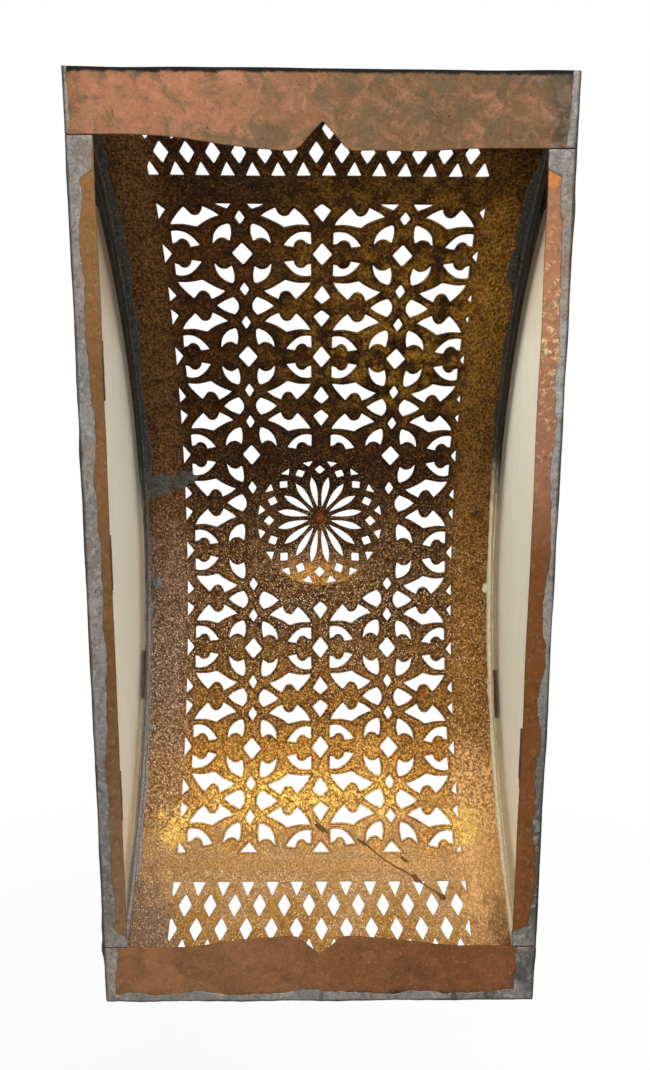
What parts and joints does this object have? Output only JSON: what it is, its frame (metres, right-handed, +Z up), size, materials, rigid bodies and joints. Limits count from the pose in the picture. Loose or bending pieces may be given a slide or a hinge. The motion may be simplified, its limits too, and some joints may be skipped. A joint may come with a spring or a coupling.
{
  "type": "pierced brass wall sconce",
  "caption": "Bowed wall light cover of pierced brass with a domed rosette, flat sides with milk glass panes and a flat copper frame against the wall; empty inside and open at the back.",
  "frame": {"origin": "centre of the frame's back, on the wall plane", "axes": "+Z up, -Y out into the room, +X to the right as seen from the room; the wall is the plane y = 0"},
  "size_m": [0.228, 0.1343, 0.462],
  "materials": {
    "aged_brass": "aged, hammered and darkened brass sheet",
    "rosette_brass": "aged brass sheet, pressed into a dome",
    "rusty_copper": "orange-brown tarnished copper",
    "copper": "tarnished copper strip with solder along its outer edge",
    "dark_copper": "dark tarnished copper strip with solder along its outer edge",
    "tinned_brass": "brass sheet under dull grey tinning",
    "milk_glass": "cream milk glass with fine streaks",
    "solder": "lumpy lead-grey solder",
    "tab_copper": "dull purple-brown copper sheet"
  },
  "bodies": {
    "root": {"front_panel": "aged_brass", "rosette_boss": "rosette_brass", "rosette_rivet": "rusty_copper", "top_strip": "copper", "bottom_strip": "dark_copper", "right_strip": "copper", "right_side_rim": "tinned_brass", "right_side_foot": "tinned_brass", "right_glass_pane": "milk_glass", "right_seam_solder": "solder", "right_back_tab_1": "tab_copper", "right_back_tab_2": "tab_copper", "right_back_tab_3": "tab_copper", "right_edge_tab": "tab_copper", "left_strip": "copper", "left_side_rim": "tinned_brass", "left_side_foot": "tinned_brass", "left_glass_pane": "milk_glass", "left_seam_solder": "solder", "left_back_tab_1": "tab_copper", "left_edge_tab": "tab_copper"}
  },
  "joints": []
}
